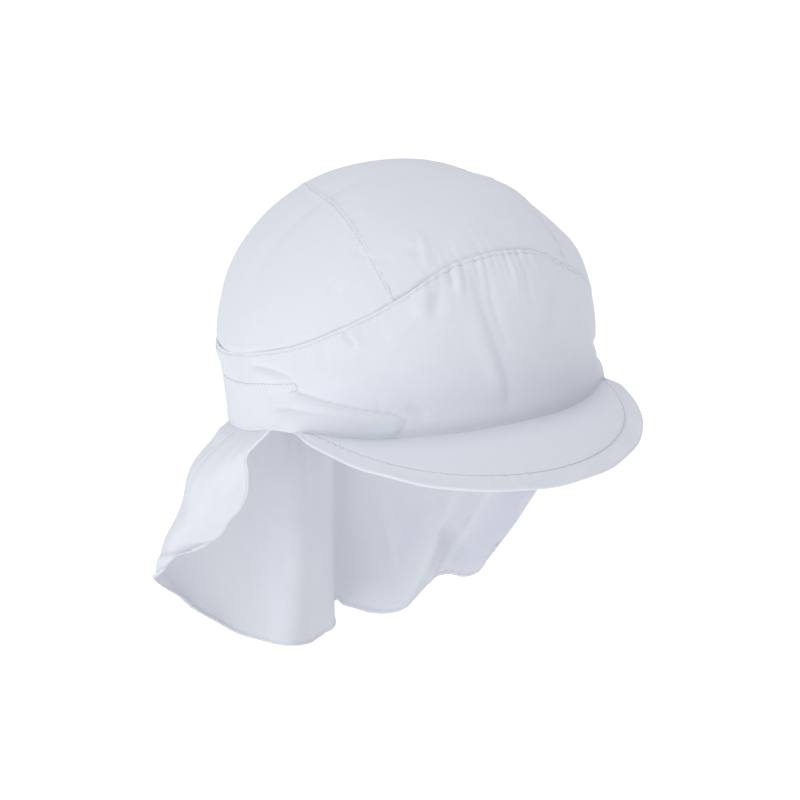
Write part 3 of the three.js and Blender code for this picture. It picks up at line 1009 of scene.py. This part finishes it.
class CapStage(bpy.types.PropertyGroup):
    """Camera and light."""

    camera_turn: FloatProperty(
        name="Camera Turn",
        description="Turn of the camera from the front",
        default=np.radians(25), subtype="ANGLE",
    )
    camera_rise: FloatProperty(
        name="Camera Rise",
        description="Angle of the camera above level",
        default=np.radians(22), subtype="ANGLE",
    )
    camera_distance: FloatProperty(
        name="Camera Distance", description="From the camera to the origin", default=1.0, unit="LENGTH"
    )
    camera_aside: FloatProperty(
        name="Camera Aside", description="Shift of the camera to its left", default=2.76 * MM, unit="LENGTH"
    )
    lens: FloatProperty(
        name="Lens", description="Focal length in millimetres", default=97.83, subtype="DISTANCE_CAMERA"
    )
    floor_height: FloatProperty(
        name="Floor Height", description="Height of the floor, under the flap", default=-0.5, unit="LENGTH"
    )
    sky: FloatProperty(name="Sky", description="Brightness of the light all round", default=0.52, min=0)
    key: FloatProperty(
        name="Key", description="Power of the soft light at the camera's left", default=4.2, unit="POWER"
    )
    top: FloatProperty(
        name="Top", description="Power of the soft light overhead", default=6.0, unit="POWER"
    )
    glow: FloatProperty(
        name="Floor Glow", description="Brightness of the floor by itself", default=0.82, min=0
    )
    shade: FloatProperty(
        name="Floor Shade",
        description="Radius under the cap where the floor's glow fades",
        default=0.5, unit="LENGTH",
    )


class CAP_OT_crown(bpy.types.Operator):
    """Makes the strip over the top, the two side panels and the stitches on their seams"""

    bl_idname = "cap.crown"
    bl_label = "Crown Panels"

    def execute(self, context):
        sewing = context.scene.cap_sewing
        material = cotton("crown_cotton", context.scene.cap_colours.cloth, WEAVE, 0.6, 0.5)
        strip = strip_object(sewing)
        dressed(strip, material, "crown_cloth", "crown_top_panel")
        rows = []
        for side, word in ((-1, "right"), (1, "left")):
            panel, row = side_panel_object(side, word, sewing)
            dressed(panel, material, "crown_cloth", f"crown_side_panel_{word}")
            rows.append(row)
        seams = stitches_object("crown_stitches", rows)
        dressed(seams, thread("crown_thread", context.scene.cap_colours.thread), "crown_cloth")
        return {"FINISHED"}


def chart_share(length):
    """A length as a share of the chart's radius."""
    return length / (CROWN_HALF_WIDTH * np.pi / 2)


def strip_object(sewing):
    """Strip over the top. Its sides run under the side panels and its ends under the band, sunk by a
    smooth step at each seam, and its ends dip on below the arch's line."""
    lap = sewing.lap
    across = shares(110, 0.16)[:, None]
    along = shares(230, 0.27)[None]
    across, along = np.broadcast_arrays(across, along)
    base = crown_point(strip_point(across, along, chart_share(lap), lap))
    from_side = np.minimum(run(base, 0), run_back(base, 0)) - lap
    above = above_arch(base)
    seam_run = run(base, 1)
    under = np.minimum(smooth(from_side, -0.2 * MM, 1.8 * MM), smooth(above, STEP_LOW, STEP_HIGH))
    relief = -sewing.sink * (1 - under)
    relief += puckers(seam_run, from_side, 6.4 * MM, 8 * MM, 1.3 * sewing.pucker, 11)
    relief += puckers(run(base, 0), above, 5 * MM, 6 * MM, 0.8 * sewing.pucker, 13)
    relief += ripple(base, 34 * MM, sewing.softness, 3)
    creases = creased(base, False, STRIP_CREASES + CROWN_DENTS, crown_surface, sewing.creasing)
    relief += creases * smooth(above, 0, ARCH_CLEAR) + UNDER_SLOPE * np.minimum(above, 0)
    half = sewing.cloth_half
    middle = raised(base, relief - half)
    ends = np.minimum(run(base, 1), run_back(base, 1))
    edge = np.minimum(np.minimum(run(base, 0), run_back(base, 0)), ends)
    return cloth_object("crown_top_cloth", middle, rounded(edge, half))


def side_panel_object(side, word, sewing):
    """Side panel of the crown and the row of stitches on its folded upper edge. The panel is a straight
    blend on the chart between a line under the band and the strip's edge. Side is -1 for the
    wearer's right and 1 for the left."""
    front_turn = STRIP_RIGHT_TURN if side < 0 else STRIP_LEFT_TURN
    ends = np.linspace(-0.004, 1.004, 230)
    along = (ends[::-1] if side < 0 else ends)[:, None]
    up = shares(78, 0.11)[None]
    along, up = np.broadcast_arrays(along, up)
    turn = -side * mixed(front_turn, 180 - strip_back_turn(), along)
    lower = chart_point(turn, arch_height(turn) - sewing.lap)
    upper = strip_point(np.full(along.shape, (1 + side) / 2), along, 0, 0)
    base = crown_point(mixed(lower, upper, up[..., None]))
    swell = np.sin(np.pi * up) * np.sin(np.pi * np.clip(along, 0, 1))
    from_fold = run_back(base, 1)
    above = above_arch(base)
    seam_run = np.broadcast_to(run(base, 0)[:, -1:], base.shape[:2])
    relief = PANEL_PUFF * swell
    clear = smooth(above, 0, ARCH_CLEAR)
    relief += sewing.fold_rise * (1 - smooth(from_fold, 2.2 * MM, 4 * MM)) * clear
    relief += groove(from_fold - SEAM_LINE, 0.5 * MM, 0.16 * MM)
    relief += puckers(seam_run, from_fold, 6.4 * MM, 8 * MM, 1.2 * sewing.pucker, 21 + side)
    relief -= sewing.sink * (1 - smooth(above, STEP_LOW, STEP_HIGH))
    relief += puckers(run(base, 0), above, 5.6 * MM, 6 * MM, 0.7 * sewing.pucker, 25 + side)
    relief += ripple(base, 38 * MM, sewing.softness, 31 + side)
    creases = list(CROWN_DENTS)
    for crease in SIDE_CREASES:
        creases.append(crease._replace(path=[(-side * turn, height) for turn, height in crease.path]))
    relief += creased(base, False, creases, crown_surface, sewing.creasing) * clear
    relief += UNDER_SLOPE * np.minimum(above, 0)
    half = sewing.cloth_half
    middle = raised(base, relief - half)
    edge = np.minimum(np.minimum(from_fold, run(base, 1)), np.minimum(run(base, 0), run_back(base, 0)))
    panel = cloth_object(f"crown_side_{word}_cloth", middle, rounded(edge, half))
    face = raised(middle, np.full(middle.shape[:2], half))
    normals = grid_normals(middle)
    line, up_line = line_at(face[:, ::-1], normals[:, ::-1], from_fold[:, ::-1], SEAM_LINE)
    visible = above_arch(line) > 0.8 * MM
    thick = sewing.thread_radius
    return panel, stitch_arrays(line[visible], up_line[visible], sewing.stitch, thick, SIDE_HOLE_SHADE)


class CAP_OT_band(bpy.types.Operator):
    """Makes the band with its arch, its casing and its creases, and the stitches on it"""

    bl_idname = "cap.band"
    bl_label = "Band"

    def execute(self, context):
        sewing = context.scene.cap_sewing
        material = cotton("band_cotton", context.scene.cap_colours.cloth, WEAVE, 0.6, 0.6)
        band, rows = band_objects(sewing)
        dressed(band, material, "band_cloth", "band")
        seams = stitches_object("band_stitches", rows)
        dressed(seams, thread("band_thread", context.scene.cap_colours.thread), "band_cloth")
        return {"FINISHED"}


def casing_share(turn):
    """1 where the casing for the elastic is, 0 ahead of its two ends."""
    return smooth(np.abs(wrapped(turn)), CASING_END_TURN - 0.6, CASING_END_TURN + 0.6)


def band_objects(sewing):
    """The band and its rows of stitches: along the arch, and along the casing with a back-tack at each
    end. The elastic gathers the back into small upright folds."""
    around = np.linspace(0, 1, 721)[:-1, None]
    up = shares(38, 0.062)[None]
    turn = -360 * around
    height = mixed(rim_height(turn), arch_height(turn), up)
    turn = np.broadcast_to(turn, height.shape)
    base = wall_point(turn, height)
    from_top = run_back(base, 1)
    from_rim = run(base, 1)
    seam_run = np.broadcast_to(run(base, 0)[:, -1:], height.shape)
    from_casing = height - rim_height(turn) - CASING_HEIGHT + CASING_DIP * TEMPLE_LIFT * at_temples(turn)
    casing = casing_share(turn)
    behind = smooth(np.abs(wrapped(turn)), 84, 128)
    front = smooth(ahead_share(turn), 0.93, 0.99)
    relief = 0.6 * sewing.fold_rise * (1 - smooth(from_top, 2 * MM, 4.4 * MM))
    relief += groove(from_top - SEAM_LINE, 0.5 * MM, 0.14 * MM)
    relief += puckers(seam_run, from_top, 5.6 * MM, 8 * MM, (1 + front) * sewing.pucker, 41)
    relief += front * puckers(seam_run, from_top, 3.9 * MM, 11 * MM, 1.4 * sewing.pucker, 45)
    relief += casing * groove(from_casing, 0.6 * MM, 0.3 * MM)
    relief += casing * puckers(run(base, 0), from_casing, 5.8 * MM, 5 * MM, sewing.pucker, 43)
    gathers = np.sin(2 * np.pi * run(base, 0) / (7.5 * MM) + 2.5 * wander(run(base, 0), 40 * MM, 47))
    window = smooth(from_rim, 0, 3 * MM) * (1 - 0.75 * smooth(from_casing, 0, 16 * MM))
    relief += behind * window * gathers * 0.7 * MM
    relief += groove(from_rim - 2.2 * MM, 0.8 * MM, 0.12 * MM)
    over_visor = 1 - smooth(np.abs(wrapped(turn)), 56, 72)
    relief += over_visor * RIM_FLARE * (1 - smooth(from_rim, 0, 14 * MM))
    relief += ripple(base, 30 * MM, 1.1 * sewing.softness, 53)
    relief += creased(base, True, BAND_CREASES + CROWN_DENTS, crown_surface, sewing.creasing)
    half = sewing.band_half
    middle = raised(base, relief - half, True)
    edge = np.minimum(from_top, from_rim)
    band = cloth_object("band_cloth", middle, rounded(edge, half), True)
    normals = grid_normals(middle, True)
    face = middle + normals * half
    reverse = (face[:, ::-1], normals[:, ::-1], from_top[:, ::-1])
    line, up_line = line_at(*reverse, SEAM_LINE)
    closed = np.append(np.arange(len(line)), 0)
    thick = sewing.thread_radius
    rows = [stitch_arrays(line[closed], up_line[closed], sewing.stitch, thick, ARCH_HOLE_SHADE)]
    line, up_line = line_at(face, normals, from_casing, 0)
    sewn = np.abs(wrapped(turn[:, 0])) > CASING_END_TURN
    thick = 1.2 * sewing.thread_radius
    rows.append(stitch_arrays(line[sewn], up_line[sewn], sewing.casing_stitch, thick, CASING_HOLE_SHADE))
    for end in (1, -1):
        path = [(end * CASING_END_TURN, 36.4), (end * 57.6, 35.6), (end * 58, 33.4), (end * 60.5, 31.4)]
        tack = crease_path(path, lambda turn, height: np.stack([turn, height], -1))
        column = (-tack[:, 0] / 360 % 1) * len(face)
        columns = np.round(column).astype(int) % len(face)
        steps = np.arange(height.shape[1])
        levels = zip(tack[:, 1] * MM, height[columns])
        row = np.array([np.interp(level, heights, steps) for level, heights in levels])
        place, outward = (between_points(grid, column, row) for grid in (face, normals))
        rows.append(stitch_arrays(place, outward, TACK_STITCH, thick, STRONG_HOLE_SHADE))
    return band, rows


class CAP_OT_visor(bpy.types.Operator):
    """Makes the stiffened visor with its thin flange and the stitches between them"""

    bl_idname = "cap.visor"
    bl_label = "Visor"

    def execute(self, context):
        sewing = context.scene.cap_sewing
        material = cotton("visor_cotton", context.scene.cap_colours.cloth, VISOR_WEAVE, 1.0, 0.35)
        visor, rows = visor_objects(sewing)
        dressed(visor, material, "visor_cloth", "visor")
        seams = stitches_object("visor_stitches", rows)
        dressed(seams, thread("visor_thread", context.scene.cap_colours.thread), "visor_cloth")
        return {"FINISHED"}


def visor_objects(sewing):
    """The visor and its stitches. A rib runs from the rim to the edge, which is an ellipse in plan. The
    height along it is a power of the share out, plus a low arch. Outside the stitch line the flange
    is thinner and waves a little."""
    side = mixed(-1, 1, shares(380, 0.3))[:, None]
    share = mixed(-0.045, 1, shares(46, 0.075, False, True))[None]
    turn = side * VISOR_END_TURN
    radius = rim_radius(turn) - 1 * MM
    root = placed(radius, turn, rim_height(turn) + VISOR_LIFT)
    sweep = np.radians(90 * side)
    rise = mixed(VISOR_TIP_HEIGHT, VISOR_CORNER_HEIGHT, np.sin(sweep) ** 2)
    reach = VISOR_ROOT + (VISOR_TIP - VISOR_ROOT) * np.cos(sweep)
    edge = np.stack([-VISOR_HALF_WIDTH * np.sin(sweep), -reach, rise], -1)
    end = placed(rim_radius(turn) - 0.3 * MM, turn, rim_height(turn) + 0.9 * MM)
    tuck = smooth(np.abs(side), VISOR_TUCK, 1)
    edge = mixed(edge, end, tuck[..., None])
    base = mixed(root, edge, share[..., None])
    out = np.maximum(share, 0)
    base[..., 2] = mixed(root[..., 2], edge[..., 2], out**VISOR_RISE)
    base[..., 2] += VISOR_ARCH * np.sin(np.pi * out) ** 2 * (1 - tuck)
    from_edge = run_back(base, 1)
    flange = FLANGE_WIDTH * (1 + FLANGE_FLARE * side**4)
    from_stitch = from_edge - flange
    inside = smooth(from_stitch, -1.2 * MM, 0.4 * MM)
    edge_run = np.broadcast_to(run(base, 0)[:, -1:], base.shape[:2])
    relief = -(VISOR_HALF - FLANGE_HALF) * (1 - inside)
    relief += 0.3 * MM * wander(edge_run, 26 * MM, 61) * (1 - smooth(from_edge / flange, 0.2, 1))
    relief += puckers(edge_run, from_stitch, 5.2 * MM, 4 * MM, 0.12 * MM, 63)
    relief += groove(from_stitch, 0.7 * MM, 0.35 * MM)
    relief += ripple(base, 42 * MM, 0.5 * sewing.softness, 67)
    half = mixed(FLANGE_HALF, VISOR_HALF, inside) + groove(from_stitch, 0.8 * MM, 0.3 * MM)
    half = half * mixed(1, 0.5, tuck)
    from_side = np.minimum(run(base, 0), run_back(base, 0))
    border = np.minimum(np.minimum(from_edge, run(base, 1)), from_side)
    middle = raised(base, relief - half)
    thickness = half * rounded(border, 0.9 * MM) / (0.9 * MM)
    visor = cloth_object("visor_cloth", middle, thickness)
    normals = grid_normals(middle)
    face = middle + normals * thickness[..., None]
    line, up_line = line_at(face[:, ::-1], normals[:, ::-1], from_stitch[:, ::-1], 0)
    reaches = from_stitch[:, 0] > 2.5 * MM
    thick = sewing.thread_radius
    row = stitch_arrays(line[reaches], up_line[reaches], sewing.stitch, thick, STRONG_HOLE_SHADE)
    return visor, [row]


class CAP_OT_flap(bpy.types.Operator):
    """Makes the neck flap with its folds and rolled hem, and the stitches of the hem"""

    bl_idname = "cap.flap"
    bl_label = "Neck Flap"

    def execute(self, context):
        sewing = context.scene.cap_sewing
        material = cotton("flap_cotton", context.scene.cap_colours.cloth, WEAVE, 0.6, 0.4)
        flap, rows = flap_objects(sewing)
        dressed(flap, material, "flap_cloth", "neck_flap")
        seams = stitches_object("flap_stitches", rows)
        dressed(seams, thread("flap_thread", context.scene.cap_colours.thread), "flap_cloth")
        return {"FINISHED"}


def swung(points, seam, down):
    """The flap with its right front edge swung in and out by the edge's table, its right side flared
    out under the gathers, and a deep fold behind the wearer's neck: the cloth to the right of the
    fold's line is pushed in and the cloth to its left is pushed out."""
    fall = np.clip(down, 0, 1)
    out = column_value(EDGE_WAVE, "out", fall) * MM * np.exp(-((seam / EDGE_WAVE_SPREAD) ** 1.5))
    flare = np.exp(-(((seam - FLARE_SEAM) / FLARE_SEAM_SPREAD) ** 2))
    flare *= np.exp(-(((fall - FLARE_DOWN) / FLARE_DOWN_SPREAD) ** 2))
    out += FLARE_OUT * flare * smooth(down, 0, 0.05)
    depth = FOLD_DEPTH * smooth(fall, 0.06, 0.3) * (1 - 0.75 * smooth(fall, 0.6, 1))
    across = smooth(seam, FOLD_START, FOLD_END)
    near = smooth(seam, 0.36, 0.42) * (1 - across)
    far = across * (1 - smooth(seam, 0.51, 0.58))
    out += depth * (far - near)
    plan = points * (1, 1, 0)
    return points + plan / np.linalg.norm(plan, axis=-1, keepdims=True) * out[..., None]


def flap_objects(sewing):
    """The neck flap and its hem's stitches. Fine gathers start at the band and die away downward, and
    the rolled hem is thicker along the three free edges."""
    seam = 1 - shares(400, 0.32)[:, None]
    down = 1 - mixed(0, 1 + FLAP_TUCK / FLAP_LENGTH, shares(82, 0.15, True, False))[None]
    seam, down = np.broadcast_arrays(seam, down)
    base = swung(flap_point(seam, down), seam, down)
    from_hem = run(base, 1)
    from_front = np.minimum(run(base, 0), run_back(base, 0))
    from_edge = np.minimum(from_hem, from_front)
    across = run(base, 0)
    band_run = np.broadcast_to(across[:, -1:], base.shape[:2])
    elastic = smooth(seam, 0.05, 0.2) * smooth(1 - seam, 0.05, 0.2)
    gathers = np.sin(2 * np.pi * band_run / (9 * MM) + 2.6 * wander(band_run, 45 * MM, 71))
    fading = np.exp(-np.maximum(down, 0) / 0.14) * smooth(down, -0.01, 0.05)
    relief = elastic * gathers * 1.1 * MM * fading
    relief += ripple(base, 48 * MM, 2.2 * sewing.softness, 73) * smooth(down, 0, 0.3)
    relief += ripple(base, 17 * MM, 0.4 * sewing.softness, 79)
    relief += creased(base, False, FLAP_CREASES, flap_point, sewing.creasing)
    relief += puckers(across, from_hem, 7 * MM, 5 * MM, 0.8 * sewing.pucker, 83)
    in_hem = 1 - smooth(from_edge, sewing.hem - 0.5 * MM, sewing.hem + 0.4 * MM)
    half = sewing.flap_half * (1 + in_hem)
    middle = raised(base, relief - sewing.flap_half)
    border = np.minimum(from_edge, run_back(base, 1))
    thickness = half * rounded(border, 0.7 * MM) / (0.7 * MM)
    flap = cloth_object("neck_flap_cloth", middle, thickness)
    normals = grid_normals(middle)
    rows = []
    thick = 0.8 * sewing.thread_radius
    from_free = sewing.hem - 0.8 * MM
    for turned in (1, -1):
        face = middle + turned * normals * thickness[..., None]
        line, up_line = line_at(face, turned * normals, from_hem, from_free)
        lengths = (run(line[:, None], 0)[:, 0], run_back(line[:, None], 0)[:, 0])
        inner = (lengths[0] > sewing.hem) & (lengths[1] > sewing.hem)
        rows.append(stitch_arrays(line[inner], up_line[inner], sewing.stitch, thick, HEM_HOLE_SHADE))
        for first, last in ((face, 1), (face[::-1], -1)):
            swapped = first.swapaxes(0, 1)
            side_normals = (turned * normals)[::last].swapaxes(0, 1)
            line, up_line = line_at(swapped, side_normals, run(swapped, 1), from_free)
            low = (from_hem[0] > sewing.hem) & (down[0] > 0.02)
            rows.append(stitch_arrays(line[low], up_line[low], sewing.stitch, thick, HEM_HOLE_SHADE))
    return flap, rows


class CAP_OT_stage(bpy.types.Operator):
    """Makes the floor, the camera and the soft studio light"""

    bl_idname = "cap.stage"
    bl_label = "Stage"

    def execute(self, context):
        scene = context.scene
        stage = scene.cap_stage
        scene.view_settings.view_transform = "Standard"
        floor_object(stage, scene.cap_colours.floor)
        scene.camera = camera_object(stage)
        soft_light("key_light", stage.key, KEY_PLACE, LIGHT_SIZE)
        soft_light("top_light", stage.top, TOP_PLACE, LIGHT_SIZE)
        world = bpy.data.worlds.new("plain_sky")
        world.use_nodes = True
        background = world.node_tree.nodes["Background"]
        background.inputs["Color"].default_value = SKY_COLOUR
        background.inputs["Strength"].default_value = stage.sky
        scene.world = world
        return {"FINISHED"}


def floor_object(stage, colour):
    """Wide flat floor, as a grid of eight by eight squares."""
    reach = np.linspace(-FLOOR_REACH, FLOOR_REACH, FLOOR_LINES)
    x, y = np.meshgrid(reach, reach, indexing="ij")
    points = np.stack([x, y, np.full(x.shape, stage.floor_height)], -1).reshape(-1, 3)
    index = np.arange(FLOOR_LINES**2).reshape(FLOOR_LINES, FLOOR_LINES)
    faces = np.stack([index[:-1, :-1], index[1:, :-1], index[1:, 1:], index[:-1, 1:]], -1).reshape(-1, 4)
    floor = make_object("floor", points, faces)
    floor.data.materials.append(plain_floor("floor_paint", colour, stage.glow, stage.shade))
    return floor


def camera_object(stage):
    """Camera that looks level with its own tilt along the line back to the origin, set a little aside."""
    turn, rise = stage.camera_turn, stage.camera_rise
    back = Vector((-np.sin(turn) * np.cos(rise), -np.cos(turn) * np.cos(rise), np.sin(rise)))
    right = Vector((np.cos(turn), -np.sin(turn), 0))
    data = bpy.data.cameras.new("camera")
    data.lens = stage.lens
    camera = bpy.data.objects.new("camera", data)
    camera.location = back * stage.camera_distance - right * stage.camera_aside
    camera.rotation_euler = (-back).to_track_quat("-Z", "Y").to_euler()
    bpy.context.scene.collection.objects.link(camera)
    return camera


def soft_light(name, power, place, size):
    """Square area light that faces the origin."""
    data = bpy.data.lights.new(name, "AREA")
    data.energy = power
    data.size = size
    light = bpy.data.objects.new(name, data)
    light.location = place
    light.rotation_euler = (-Vector(place)).to_track_quat("-Z", "Y").to_euler()
    bpy.context.scene.collection.objects.link(light)
    return light


class CAP_PT_panel(bpy.types.Panel):
    """Sizes, colours and the makers of the cap's pieces"""

    bl_idname = "CAP_PT_panel"
    bl_label = "Legionnaire Cap"
    bl_space_type = "VIEW_3D"
    bl_region_type = "UI"
    bl_category = "Cap"

    def draw(self, context):
        scene = context.scene
        for group in (scene.cap_sewing, scene.cap_colours, scene.cap_stage):
            box = self.layout.box()
            for key in group.__annotations__:
                box.prop(group, key)
        for operator in OPERATORS:
            self.layout.operator(operator.bl_idname)


OPERATORS = (CAP_OT_stage, CAP_OT_crown, CAP_OT_band, CAP_OT_visor, CAP_OT_flap)
GROUPS = {"cap_sewing": CapSewing, "cap_colours": CapColours, "cap_stage": CapStage}


def register():
    """Registers the property groups, the operators and the panel."""
    for name, group in GROUPS.items():
        bpy.utils.register_class(group)
        setattr(bpy.types.Scene, name, PointerProperty(type=group))
    for kind in (*OPERATORS, CAP_PT_panel):
        bpy.utils.register_class(kind)


def unregister():
    """Takes them back."""
    for kind in (CAP_PT_panel, *reversed(OPERATORS)):
        bpy.utils.unregister_class(kind)
    for name, group in GROUPS.items():
        delattr(bpy.types.Scene, name)
        bpy.utils.unregister_class(group)


def main():
    register()
    bpy.ops.cap.stage()
    bpy.ops.cap.crown()
    bpy.ops.cap.band()
    bpy.ops.cap.visor()
    bpy.ops.cap.flap()


if __name__ == "__main__":
    main()
